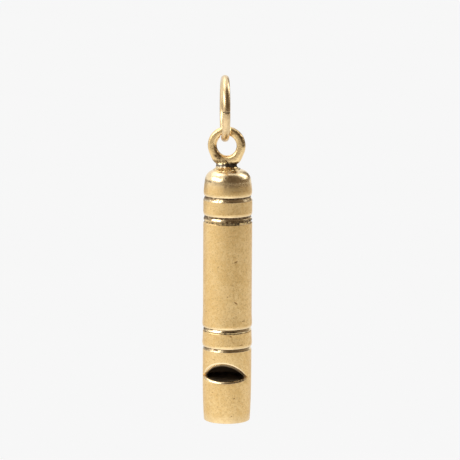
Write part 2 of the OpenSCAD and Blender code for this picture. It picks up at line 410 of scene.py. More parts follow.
class Nodes:
    """A node tree, with short calls for the nodes that the finishes share."""

    def __init__(
        self, owner: bpy.types.Material | bpy.types.World, output: str = "ShaderNodeOutputMaterial"
    ) -> None:
        """Start an empty tree with its output.

        Args:
            owner: The material or the world that the tree belongs to.
            output: Type of its output node.
        """
        owner.use_nodes = True
        self.owner = owner
        self.tree = owner.node_tree
        self.tree.nodes.clear()
        self.output = self.add(output)

    @classmethod
    def of(cls, name: str) -> "Nodes":
        """The empty tree of a new material."""
        return cls(bpy.data.materials.new(name))

    @cached_property
    def place(self) -> bpy.types.NodeSocket:
        """The object's own coordinates, in metres."""
        return self.add("ShaderNodeTexCoord").outputs["Object"]

    def add(self, kind: str, **settings: object) -> bpy.types.Node:
        """Add a node.

        Args:
            kind: The node's type.
            **settings: Its properties.

        Returns:
            The node.
        """
        node = self.tree.nodes.new(kind)
        for key, value in settings.items():
            setattr(node, key, value)
        return node

    def feed(self, node: bpy.types.Node, values: dict[str | int, object]) -> bpy.types.Node:
        """Link or set the inputs of a node.

        Args:
            node: The node.
            values: A socket to link from, or a value, for each input's name or number.

        Returns:
            The same node.
        """
        for key, value in values.items():
            if isinstance(value, bpy.types.NodeSocket):
                self.tree.links.new(value, node.inputs[key])
            else:
                node.inputs[key].default_value = value
        return node

    def calc(self, operation: str, *values: object) -> bpy.types.NodeSocket:
        """The result of a math node on sockets or numbers."""
        node = self.add("ShaderNodeMath", operation=operation)
        return self.feed(node, dict(enumerate(values))).outputs[0]

    def times(self, a: object, b: object) -> bpy.types.NodeSocket:
        """The product of two values."""
        return self.calc("MULTIPLY", a, b)

    def rest(self, value: object) -> bpy.types.NodeSocket:
        """What is left of 1 after a value."""
        return self.calc("SUBTRACT", 1.0, value)

    def stretched(self, scale: Sequence[float], turn: Sequence[float]) -> bpy.types.NodeSocket:
        """Object coordinates turned and then stretched.

        Args:
            scale: Scale on each axis.
            turn: Turn about each axis, in degrees.

        Returns:
            The vector.
        """
        turned = self.add("ShaderNodeMapping")
        self.feed(turned, {"Vector": self.place, "Rotation": [math.radians(a) for a in turn]})
        mapped = self.add("ShaderNodeMapping")
        return self.feed(mapped, {"Vector": turned.outputs[0], "Scale": scale}).outputs[0]

    def noise(
        self, scale: float, detail: float, rough: float = 0.5, twist: float = 0.0, vector: object = None
    ) -> bpy.types.NodeSocket:
        """A noise value from 0 to 1.

        Args:
            scale: Waves per metre.
            detail: Octaves.
            rough: Strength of the finer octaves.
            twist: Distortion.
            vector: Coordinates, or the object's own.

        Returns:
            The value.
        """
        node = self.add("ShaderNodeTexNoise", noise_dimensions="3D")
        self.feed(node, {"Vector": self.place if vector is None else vector, "Scale": scale})
        self.feed(node, {"Detail": detail, "Roughness": rough, "Distortion": twist})
        return node.outputs["Fac"]

    def window(
        self, value: object, low: float, high: float, out_low: float = 0.0, out_high: float = 1.0
    ) -> bpy.types.NodeSocket:
        """Map a range smoothly to another one, clamped at both ends."""
        node = self.add("ShaderNodeMapRange", interpolation_type="SMOOTHSTEP", clamp=True)
        return self.feed(node, {0: value, 1: low, 2: high, 3: out_low, 4: out_high}).outputs[0]

    def blend(self, factor: object, a: object, b: object) -> bpy.types.NodeSocket:
        """Mix two colours.

        Args:
            factor: Share of the second colour.
            a: The first colour, a socket or a linear colour.
            b: The second colour, a socket or a linear colour.

        Returns:
            The mixed colour.
        """
        node = self.add("ShaderNodeMix", data_type="RGBA")
        a = (*a, 1.0) if isinstance(a, tuple) else a
        b = (*b, 1.0) if isinstance(b, tuple) else b
        return self.feed(node, {"Factor": factor, 6: a, 7: b}).outputs[2]

    def mask(self, mask: Mask) -> bpy.types.NodeSocket:
        """The value of a painted mask."""
        return self.add("ShaderNodeAttribute", attribute_name=mask.value).outputs["Fac"]

    def relief(self, height: object, depth: float, below: object = None) -> bpy.types.NodeSocket:
        """A bump.

        Args:
            height: Height from 0 to 1.
            depth: Depth of the relief, in mm.
            below: The normal of another bump to add to.

        Returns:
            The normal.
        """
        node = self.add("ShaderNodeBump")
        self.feed(node, {"Strength": 1.0, "Distance": depth * MM, "Height": height})
        if below is not None:
            self.feed(node, {"Normal": below})
        return node.outputs[0]

    def end(self, shader: bpy.types.Node) -> bpy.types.Material | bpy.types.World:
        """Link a shader to the tree's output, and return what the tree belongs to."""
        self.tree.links.new(shader.outputs[0], self.output.inputs[0])
        return self.owner

    def metal(
        self, colour: object, roughness: object, normal: object, metallic: object = 1.0
    ) -> bpy.types.Material:
        """End the tree with the surface of a metal.

        Args:
            colour: Its colour.
            roughness: Its roughness.
            normal: Its relief.
            metallic: How much of it is bare metal.

        Returns:
            The material.
        """
        shader = self.add("ShaderNodeBsdfPrincipled")
        self.feed(shader, {"Base Color": colour, "Roughness": roughness})
        self.feed(shader, {"Normal": normal, "Metallic": metallic})
        return self.end(shader)


@dataclass(frozen=True)
class Nick:
    """A small dent in the skin of the pipe.

    Attributes:
        angle: Place round the pipe from the window's middle, towards +X, in degrees.
        z: Height, in mm.
        length: Half of its length, in mm.
        width: Half of its width, in mm.
        tilt: Tilt of its length from the horizontal, in degrees.
        r: Radius of the skin there, in mm.
        side: Distance of the pipe's axis to the right of the origin, in mm.
        through: How far it reaches in and out through the skin, in mm.
    """

    angle: float
    z: float
    length: float
    width: float
    tilt: float
    r: float = 3.5
    side: float = 0.48
    through: float = 0.5

    def nearness(self, nodes: Nodes) -> bpy.types.NodeSocket:
        """Distance from the dent's middle, as a share of its half size.

        Args:
            nodes: The tree of the finish.

        Returns:
            The distance, 1 at the dent's edge.
        """
        a = math.radians(self.angle)
        centre = Vector((self.r * math.sin(a) + self.side, -self.r * math.cos(a), self.z))
        turn = Matrix.Rotation(a, 3, "Z") @ Matrix.Rotation(math.radians(-self.tilt), 3, "Y")
        local = nodes.add("ShaderNodeMapping", vector_type="TEXTURE")
        nodes.feed(local, {"Vector": nodes.place, "Location": centre * MM, "Rotation": turn.to_euler("XYZ")})
        nodes.feed(local, {"Scale": Vector((self.length, self.through, self.width)) * MM})
        length = nodes.add("ShaderNodeVectorMath", operation="LENGTH")
        return nodes.feed(length, {0: local.outputs[0]}).outputs["Value"]


CAP_NICKS = (Nick(45.6, -10.90, 0.42, 0.09, 3, 3.45),)
BARREL_NICKS = (
    Nick(30.8, -21.60, 0.44, 0.12, 24),
    Nick(31.5, -27.52, 0.42, 0.14, -35),
    Nick(-49.4, -29.05, 0.20, 0.10, 0),
    Nick(11.5, -26.64, 0.16, 0.08, 40),
    Nick(51.8, -30.26, 0.40, 0.08, 12),
    Nick(18.0, -17.90, 0.26, 0.05, 15),
    Nick(-12.0, -22.40, 0.30, 0.05, 28),
    Nick(24.0, -25.00, 0.34, 0.05, -12),
)
MOUTH_NICKS = (
    Nick(19.7, -32.36, 0.26, 0.14, -30),
    Nick(46.0, -33.72, 0.42, 0.09, 4),
    Nick(-26.4, -40.70, 0.18, 0.09, 10, 3.44),
    Nick(28.6, -41.45, 0.20, 0.12, 30, 3.42),
    Nick(22.5, -44.06, 0.16, 0.09, 0, 3.33),
    Nick(-22.0, -35.85, 0.34, 0.05, 4),
)


@dataclass(frozen=True)
class WornGold:
    """Yellow gold with a satin skin, polished on edges with a paler painted sheen there, and with dirt and
    painted shade in corners and grooves.

    Attributes:
        name: The material's name.
        light: Linear colour of the clean metal.
        deep: Linear colour of the redder, duller clouds.
        polished_sheen: Paler linear colour where it is polished, a painted sheen that whitens its
            reflections.
        fleck: Linear colour of the fine dark flecks of the satin skin.
        grime: Linear colour of the dirt and of the painted shade in corners and grooves.
        dent: Linear colour in the dents.
        inner: Linear colour of the unpolished inside.
        satin: Roughness of the worn skin.
        bright: Roughness where the metal is polished.
        grain: Depth of the fine grain, in mm.
        ripple: Depth of the soft unevenness of the skin, in mm.
        scratch: Depth of the scratches, in mm.
        dent_depth: Depth of the dents, in mm.
        nicks: Dents on the skin.
    """

    name: str
    light: Colour = (0.945, 0.680, 0.322)
    deep: Colour = (0.840, 0.560, 0.225)
    # Paler colour where polished: a painted sheen.
    polished_sheen: Colour = (0.945, 0.770, 0.500)
    fleck: Colour = (0.62, 0.39, 0.15)
    # Dark colour for dirt and for painted shade.
    grime: Colour = (0.105, 0.054, 0.020)
    dent: Colour = (0.40, 0.19, 0.060)
    inner: Colour = (0.20, 0.135, 0.075)
    satin: float = 0.38
    bright: float = 0.14
    grain: float = 0.018
    ripple: float = 0.012
    scratch: float = 0.005
    dent_depth: float = 0.035
    nicks: tuple[Nick, ...] = ()

    def nick_mask(self, nodes: Nodes) -> bpy.types.NodeSocket:
        """The dents' depth, from 0 outside them to 1 at their middles."""
        nearest: object = 1.0
        for nick in self.nicks:
            nearest = nodes.calc("MINIMUM", nearest, nick.nearness(nodes))
        return nodes.window(nearest, 1.0, 0.35)

    def scratches(self, nodes: Nodes) -> bpy.types.NodeSocket:
        """Fine short scratches in three directions, from 0 to 1."""
        total: object = 0.0
        for turn, scale in (
            ((0, 0, 24), (5200, 5200, 420)),
            ((35, 20, 0), (6400, 700, 6400)),
            ((-40, 10, 60), (800, 7000, 7000)),
        ):
            lines = nodes.noise(1.0, 2, 0.55, vector=nodes.stretched(scale, turn))
            total = nodes.calc("MAXIMUM", total, nodes.window(lines, 0.60, 0.74))
        return total

    def make(self) -> bpy.types.Material:
        """Build the material."""
        nodes = Nodes.of(self.name)
        polish = nodes.mask(Mask.POLISH)
        inside = nodes.mask(Mask.INSIDE)
        clouds = nodes.noise(260, 4, 0.55, 0.6)
        mottle = nodes.noise(2300, 4, 0.62, 0.5)
        speck = nodes.noise(3600, 3, 0.6, 0.4)
        fine = nodes.noise(5200, 2, 0.6)
        scratched = self.scratches(nodes)
        nicked = self.nick_mask(nodes)
        flecks = nodes.times(nodes.window(fine, 0.53, 0.65), nodes.rest(polish))
        # The mask of dirt and painted shade, broken up by noise; it darkens the colour and roughens the
        # metal.
        dirt_and_shade = nodes.calc("MULTIPLY_ADD", speck, 0.55, nodes.times(mottle, 0.45))
        dirt_and_shade = nodes.calc("ADD", nodes.mask(Mask.GRIME), nodes.calc("SUBTRACT", dirt_and_shade, 0.5))
        dirt_and_shade = nodes.window(dirt_and_shade, 0.32, 0.72)

        tone = nodes.calc("MULTIPLY_ADD", mottle, 0.7, nodes.times(clouds, 0.5))
        colour = nodes.blend(nodes.window(tone, 0.44, 0.76), self.light, self.deep)
        for share, layer in (
            (nodes.times(flecks, 0.62), self.fleck),
            # The painted sheen where polished.
            (nodes.times(polish, 0.8), self.polished_sheen),
            (nodes.times(nicked, 0.85), self.dent),
            # Dirt and painted shade.
            (dirt_and_shade, self.grime),
            (inside, self.inner),
        ):
            colour = nodes.blend(share, colour, layer)

        grainy = nodes.window(mottle, 0.3, 0.7, self.satin - 0.05, self.satin + 0.07)
        shine = nodes.window(speck, 0.3, 0.7, self.bright - 0.03, self.bright + 0.06)
        rough = nodes.add("ShaderNodeMix", data_type="FLOAT")
        roughness = nodes.feed(rough, {0: polish, 2: grainy, 3: shine}).outputs[0]
        roughness = nodes.calc("MULTIPLY_ADD", scratched, 0.06, roughness)
        roughness = nodes.calc("MULTIPLY_ADD", dirt_and_shade, 0.22, roughness)
        roughness = nodes.calc("MAXIMUM", roughness, nodes.times(inside, 0.7))

        normal = nodes.relief(nodes.noise(900, 3, 0.5, 0.4), self.ripple)
        for height, depth in (
            (nodes.calc("MULTIPLY_ADD", speck, 0.6, mottle), self.grain),
            (nodes.rest(flecks), self.grain * 0.5),
            (nodes.rest(scratched), self.scratch),
            (nodes.rest(nicked), self.dent_depth),
        ):
            normal = nodes.relief(height, depth, normal)
        metallic = nodes.calc("MULTIPLY_ADD", inside, -0.8, 1.0)
        return nodes.metal(colour, roughness, normal, metallic)


@dataclass(frozen=True)
class Solder:
    """Pale solder, lumpy and bright on its crests and burnt dark in its pits.

    Attributes:
        name: The material's name.
        pale: Linear colour of the bare solder.
        golden: Linear colour where it has alloyed with the gold.
        burnt: Linear colour of the pits.
        dark: How much of it is burnt, from 0 to 1.
        lumps: Depth of the lumps, in mm.
    """

    name: str
    pale: Colour = (0.56, 0.52, 0.45)
    golden: Colour = (0.78, 0.57, 0.27)
    burnt: Colour = (0.085, 0.065, 0.045)
    dark: float = 0.56
    lumps: float = 0.06

    def make(self) -> bpy.types.Material:
        """Build the material."""
        nodes = Nodes.of(self.name)
        big = nodes.noise(1500, 3, 0.6, 0.8)
        small = nodes.noise(4500, 3, 0.6)
        pits = nodes.calc("MULTIPLY_ADD", small, 0.4, nodes.times(big, 0.6))
        burn = nodes.calc("MULTIPLY_ADD", nodes.mask(Mask.GRIME), 0.5, self.dark - 0.75)
        pits = nodes.window(nodes.calc("ADD", pits, burn), 0.34, 0.52)
        colour = nodes.blend(nodes.mask(Mask.POLISH), self.golden, self.pale)
        colour = nodes.blend(pits, colour, self.burnt)
        normal = nodes.relief(small, self.lumps * 0.35, nodes.relief(big, self.lumps))
        return nodes.metal(colour, nodes.window(pits, 0.0, 1.0, 0.22, 0.55), normal)


@dataclass(frozen=True)
class DullMetal:
    """Unpolished inner metal, dark with tarnish.

    Attributes:
        name: The material's name.
        dull: Linear colour of the metal.
        tarnish: Linear colour of the tarnish on it.
        grain: Depth of its grain, in mm.
        metallic: How much of it is bare metal.
    """

    name: str
    dull: Colour = (0.170, 0.110, 0.055)
    tarnish: Colour = (0.060, 0.040, 0.024)
    grain: float = 0.006
    metallic: float = 0.6

    def make(self) -> bpy.types.Material:
        """Build the material."""
        nodes = Nodes.of(self.name)
        patches = nodes.noise(900, 4, 0.6, 0.5)
        fine = nodes.noise(5200, 3, 0.6)
        colour = nodes.blend(nodes.window(patches, 0.38, 0.62), self.dull, self.tarnish)
        rough = nodes.window(fine, 0.3, 0.7, 0.5, 0.68)
        return nodes.metal(colour, rough, nodes.relief(fine, self.grain), self.metallic)


def finish_piece(
    obj: bpy.types.Object, node: str, body: Body, material: bpy.types.Material
) -> None:
    """Dress a piece and put it in the frame in place of its CAD node.

    Args:
        obj: The piece.
        node: The CAD node that it stands for.
        body: The body that it rides on.
        material: Its finish.
    """
    obj.name = obj.data.name = f"{node}_dressed"
    obj.data.materials.clear()
    obj.data.materials.append(material)
    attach(obj, body.value)
    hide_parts(node)
    log.info("%s: %d points, %s", obj.name, len(obj.data.vertices), material.name)


# The pipe


@dataclass
class Pipe:
    """Sizes that the turned pieces of the pipe share, in mm, and the wear that they share."""

    levels: Levels
    side: float = 0.48
    r: float = 3.5
    bore_r: float = 3.0
    groove_r: float = 3.37
    slot_r: float = 3.23
    slot_half: float = 0.10
    spigot_r: float = 2.98
    spigot_bore_r: float = 2.53
    spigot_len: float = 2.0
    steps: int = 192

    def inside(self, at: Vector) -> float:
        """1 on the inner faces of the pipe, 0 outside."""
        return step_down(radius_at(at), self.bore_r + 0.005, self.bore_r + 0.03)

    def deep(self, at: Vector, skin: float = 0.01) -> float:
        """1 at the depth of a seam's groove, 0 at a small depth under the skin."""
        return step_down(radius_at(at), self.groove_r, self.r - skin)

    def lumps(self, at: Vector) -> float:
        """Lumps of dark deposit in the groove of the lower seam, to the right of the middle."""
        return 0.60 * step_up(at.x, -0.8, 0.0) * step_down(at.x, 1.8, 2.4)

    def place(self, obj: bpy.types.Object, node: str, slot: Slot, material: bpy.types.Material) -> None:
        """Move a piece that was made about the origin to the pipe's own axis, and dress it."""
        obj.location.x = self.side * MM
        Bench.settle(obj)
        finish_piece(obj, node, Body.WHISTLE, material)


@dataclass(frozen=True)
class Groove:
    """A turned groove: a lip that leans in, a ledge, a narrow floor, and a slope out again, in mm.

    Attributes:
        pipe: The pipe that it is turned in.
        ledge: Height of the ledge.
        flat: Height of the floor under it.
        foot: Height at which the slope meets the skin below.
        skin: Radius of the skin above.
        below: Radius of the skin below.
        slope: Angle of the slope from the pipe's axis, in degrees.
    """

    pipe: Pipe
    ledge: float
    flat: float
    foot: float
    skin: float
    below: float
    slope: float = 23.0

    def corners(self) -> list[Corner]:
        """The groove's corners, from the top down."""
        floor = self.ledge - self.flat
        floor_r = self.below - math.tan(math.radians(self.slope)) * (floor - self.foot)
        return [
            Corner(self.skin, self.ledge + 0.50),
            Corner(self.skin, self.ledge + 0.40, 0.50),
            Corner(self.skin - 0.026, self.ledge + 0.20, 0.30),
            Corner(max(self.skin - 0.065, floor_r + 0.03), self.ledge, 0.03),
            Corner(floor_r, self.ledge - 0.02, 0.01),
            Corner(floor_r, floor, 0.45),
            Corner(self.below, self.foot, 0.30),
            Corner(self.below, self.foot - 0.06),
        ]

    def gloss(self, at: Vector) -> float:
        """1 from the ledge down to the foot, and less on the lip above."""
        bright = 0.38 + 0.62 * step_down(at.z, self.ledge + 0.02, self.ledge + 0.12)
        return band(at.z, self.foot - 0.02, self.ledge + 0.36) * bright

    def shadow_and_stain(self, at: Vector) -> float:
        """Painted shadow and dirt on the floor under the ledge, less of it at the left, and a darker line at
        the foot.

        Args:
            at: The place, in mm from the pipe's axis.

        Returns:
            The painted shadow and dirt there.
        """
        floor = self.ledge - self.flat
        # Painted shadow under the ledge, with dirt, lighter at the left.
        dirt_and_shade = 0.57 + 0.08 * step_up(at.x, -1.6, 0.4)
        dirt_and_shade *= step_down(radius_at(at), self.pipe.r - 0.07, self.pipe.r - 0.035)
        dirt_and_shade *= step_down(at.z, self.ledge, self.ledge + 0.01)
        dirt_and_shade *= step_up(at.z, floor - 0.06, floor)
        # A darker line at the foot.
        return max(dirt_and_shade, 0.46 * bump_at(at.z, self.foot + 0.02, 0.11))

    def smear_and_shadow(self, at: Vector, far: float = 0.46) -> float:
        """Painted shadow under the ledge over the upper left part of the groove, and darkening over all of it
        at the far left.

        Args:
            at: The place, in mm from the pipe's axis.
            far: Strength of the darkening at the far left.

        Returns:
            The painted shadow and darkening there.
        """
        # Painted shadow under the ledge.
        upper = 0.62 * band(at.z, 0.42 * self.ledge + 0.58 * self.foot, self.ledge, 0.03)
        end = far * step_up(-at.x, 1.3, 1.8) * band(at.z, self.foot, self.ledge, 0.04)
        return step_up(-at.x, 0.2, 0.5) * max(upper, end)


@dataclass
class EndCap:
    """The domed cap with its two turned grooves, in mm."""

    pipe: Pipe
    shoulder_in: float = 0.18
    shoulder_r: float = 1.7
    crown_h: float = 2.01
    side_r: float = 3.455
    land_in: float = 0.03
    groove1_down: float = 4.46
    groove2_down: float = 7.16
    ledge1: float = 0.46
    flat1: float = 0.20
    ledge2: float = 0.37
    flat2: float = 0.28
    foot_down: float = 0.20
    crown_t: float = 0.85
    hollow_rise: float = 0.8

    @cached_property
    def upper(self) -> Groove:
        """The groove under the dome."""
        p, z = self.pipe, self.pipe.levels.top - self.groove1_down
        return Groove(p, z + self.ledge1, self.flat1, z - self.foot_down, self.side_r, p.r)

    @cached_property
    def lower(self) -> Groove:
        """The groove above the seam."""
        p, z = self.pipe, self.pipe.levels.top - self.groove2_down
        return Groove(p, z + self.ledge2, self.flat2, z - self.foot_down, p.r, p.r - self.land_in)

    @cached_property
    def dome(self) -> list[Point]:
        """Crown and shoulder, from the axis to the top of the side."""
        top = self.pipe.levels.top
        x = self.pipe.r - self.shoulder_in - self.shoulder_r
        z = top - self.crown_h
        rise = self.crown_h
        crown = (x * x + rise * rise - self.shoulder_r**2) / (2 * (rise - self.shoulder_r))
        tangent = math.degrees(math.atan2(z - (top - crown), x))
        points = arc((0, top - crown), crown, 90, tangent, 22)
        return points[:-1] + arc((x, z), self.shoulder_r, tangent, 0, 22)

    def dome_height(self, r: float) -> float:
        """Height of the dome at a distance from the axis."""
        for (r0, z0), (r1, z1) in zip(self.dome, self.dome[1:]):
            if r0 <= r <= r1:
                return z0 + (z1 - z0) * (r - r0) / (r1 - r0)
        return self.dome[-1][1]

    def section(self) -> list[Point]:
        """The whole section, from the crown round to the hollow's top."""
        p, top, seam = self.pipe, self.pipe.levels.top, self.pipe.levels.cap_seam
        side = rounded(
            [
                Corner(p.r - self.shoulder_in, top - self.crown_h),
                Corner(3.39, top - self.crown_h - 0.5, 0.8),
                Corner(self.side_r - 0.01, top - self.crown_h - 1.15, 1.2),
                *self.upper.corners(),
                *self.lower.corners(),
                Corner(p.r - self.land_in, seam + p.slot_half + 0.11, 0.04),
                Corner(p.groove_r, seam + p.slot_half + 0.02, 0.03),
                Corner(p.slot_r, seam + p.slot_half),
                Corner(p.slot_r, seam),
                Corner(p.spigot_r, seam),
                Corner(p.spigot_r, seam - p.spigot_len),
                Corner(p.spigot_bore_r, seam - p.spigot_len),
            ]
        )
        hollow = (p.spigot_bore_r**2 + self.hollow_rise**2) / (2 * self.hollow_rise)
        low = math.degrees(math.acos(p.spigot_bore_r / hollow))
        return self.dome[:-1] + side + arc((0, top - self.crown_t - hollow), hollow, low, 90, 10)

    def polish(self, at: Vector) -> float:
        """Where the cap is polished, with the paler painted sheen: the dome, the grooves and the land above
        the seam.
        """
        top, seam = self.pipe.levels.top, self.pipe.levels.cap_seam
        dome = 0.88 * step_up(at.z, top - 3.0, top - 1.5)
        land = 0.6 * band(at.z, seam - 0.1, self.lower.foot)
        return max(dome, self.upper.gloss(at), self.lower.gloss(at), land)

    def grime(self, at: Vector) -> float:
        """Dirt and painted shade: painted shadow and dirt in the grooves, the dark seam, a darker band on the
        land above it, painted shade on the crown in front of the eye's foot, and a painted reflection on the
        front shoulder.
        """
        top, seam = self.pipe.levels.top, self.pipe.levels.cap_seam
        front = float(at.y < 0)
        # A darker band on the land above the seam, more of it to the right.
        land = (0.40 + 0.22 * step_up(at.x, -0.6, 0.6)) * band(at.z, seam, self.lower.foot + 0.10)
        # Painted shade on the crown, in front of the eye's foot.
        crown = 0.47 * band(at.x, -0.6, 1.8, 0.4) * bump_at(at.z, top - 0.5, 0.42)
        # A painted reflection of a dark band, on the left front of the shoulder.
        shoulder = 0.55 * bump_at(at.x, -2.2, 1.2) * bump_at(at.z, top - 1.8, 0.6)
        return max(
            self.upper.shadow_and_stain(at),
            self.upper.smear_and_shadow(at),
            self.lower.shadow_and_stain(at),
            self.lower.smear_and_shadow(at, 0.62),
            0.72 * self.pipe.deep(at, 0.02) * bump_at(at.z, seam, 0.3),
            land,
            front * crown,
            front * shoulder,
        )

    def inside(self, at: Vector) -> float:
        """1 on the faces of the hollow."""
        r = radius_at(at)
        return float(r < self.pipe.spigot_r + 0.01 and at.z < self.dome_height(r) - 0.5)

    def make(self, material: bpy.types.Material) -> None:
        """Turn, dress and place the cap."""
        obj = Bench.turned("end_cap", self.section(), self.pipe.steps)
        Bench.smooth(obj)
        Bench.paint(obj, {Mask.POLISH: self.polish, Mask.GRIME: self.grime, Mask.INSIDE: self.inside})
        self.pipe.place(obj, "end_cap", Slot.BODY_GOLD, material)


@dataclass
class BarrelTube:
    """The plain tube between the cap and the mouthpiece, in mm."""

    pipe: Pipe
    lip: float = 0.062
    ledge: float = 0.52
    flat: float = 0.08

    @cached_property
    def groove(self) -> Groove:
        """The groove that ends the tube at the mouthpiece."""
        p, low = self.pipe, self.pipe.levels.mouth_seam
        foot = low + p.slot_half + 0.01
        return Groove(p, low + self.ledge, self.flat, foot, p.r + self.lip, p.r - 0.02)

    @cached_property
    def worn(self) -> Groove:
        """The same groove down to the seam, for its polish and for its painted shadow and darkening."""
        return replace(self.groove, foot=self.pipe.levels.mouth_seam)

    @cached_property
    def groove_above_seam(self) -> Groove:
        """The same groove down to just above the seam, for its painted shadow and dirt."""
        return replace(self.groove, foot=self.pipe.levels.mouth_seam + 0.05)

    def section(self) -> list[Point]:
        """The closed section of the tube."""
        p, top, low = self.pipe, self.pipe.levels.cap_seam, self.pipe.levels.mouth_seam
        return rounded(
            [
                Corner(p.bore_r, low),
                Corner(p.bore_r, top),
                Corner(p.slot_r, top),
                Corner(p.slot_r, top - p.slot_half),
                Corner(p.groove_r + 0.04, top - p.slot_half - 0.01, 0.03),
                Corner(p.r, top - p.slot_half - 0.09, 0.05),
                Corner(p.r, top - p.slot_half - 0.20),
                Corner(p.r, self.groove.ledge + 1.90, 9.0),
                *self.groove.corners(),
                Corner(p.slot_r, low + p.slot_half),
                Corner(p.slot_r, low),
                Corner(p.bore_r, low),
            ]
        )

    def polish(self, at: Vector) -> float:
        """Where the tube is polished, with the paler painted sheen: at its two grooves."""
        return max(bump_at(at.z, self.pipe.levels.cap_seam, 0.28), self.worn.gloss(at))

    def grime(self, at: Vector) -> float:
        """Dirt and painted shade: the dark seams, most at the cap, painted shadow and dirt in the groove at
        the mouthpiece, and lumps of dirt at the lower seam.

        Args:
            at: The place, in mm from the pipe's axis.

        Returns:
            The dirt and painted shade there.
        """
        top, low = self.pipe.levels.cap_seam, self.pipe.levels.mouth_seam
        deep = self.pipe.deep(at)
        edge = (0.38 + 0.20 * step_up(at.x, -1.6, -0.7)) * bump_at(at.z, top - 0.16, 0.16)
        return max(
            0.75 * deep * bump_at(at.z, top, 0.4),
            0.5 * deep * bump_at(at.z, low, 0.4),
            edge,
            # Painted shadow under the groove's ledge, with dirt.
            self.groove_above_seam.shadow_and_stain(at),
            self.worn.smear_and_shadow(at),
            self.pipe.lumps(at) * band(at.z, low, low + 0.30),
        )

    def make(self, material: bpy.types.Material) -> None:
        """Turn, dress and place the tube."""
        obj = Bench.turned("barrel_tube", self.section(), self.pipe.steps)
        Bench.smooth(obj)
        masks = {Mask.POLISH: self.polish, Mask.GRIME: self.grime, Mask.INSIDE: self.pipe.inside}
        Bench.paint(obj, masks)
        self.pipe.place(obj, "barrel_tube", Slot.BODY_GOLD, material)


